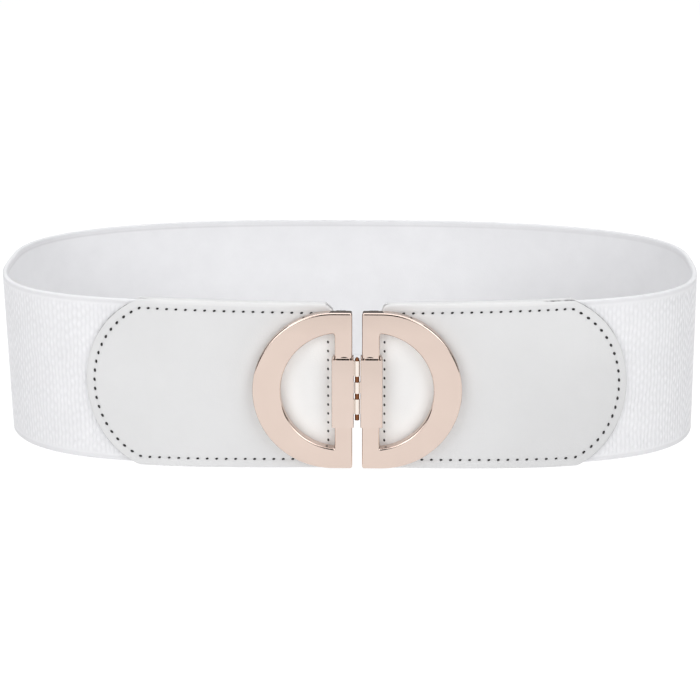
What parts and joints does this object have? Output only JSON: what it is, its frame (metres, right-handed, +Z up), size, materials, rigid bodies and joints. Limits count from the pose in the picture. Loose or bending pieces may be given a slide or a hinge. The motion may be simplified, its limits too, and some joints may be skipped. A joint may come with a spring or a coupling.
{
  "type": "elastic stretch belt with a two-frame clasp",
  "caption": "Wide elastic waist belt, closed as a loop: webbing with round-ended leather tabs, folded over half-round metal frames that a sleeved hinge clasp joins in front.",
  "frame": {"origin": "middle of the part's bounding box, on the surface that the belt stands on", "axes": "+Z up across the belt's width, +X to the right along the front of the loop, the clasp faces -Y"},
  "size_m": [0.2622, 0.1584, 0.0612],
  "materials": {
    "webbing": "white ribbed elastic webbing, matt",
    "leather": "smooth white leather, satin",
    "frame_metal": "polished pale rose-gold plating",
    "sleeve_metal": "polished pale rose-gold plating",
    "pin_metal": "darker rose-gold plating"
  },
  "bodies": {
    "root": {"elastic_webbing": "webbing", "left_leather_tab": "leather", "right_leather_tab": "leather", "left_d_frame": "frame_metal", "right_d_frame": "frame_metal", "left_clasp_sleeve": "sleeve_metal", "right_clasp_sleeve": "sleeve_metal", "hinge_pin": "pin_metal"}
  },
  "joints": []
}
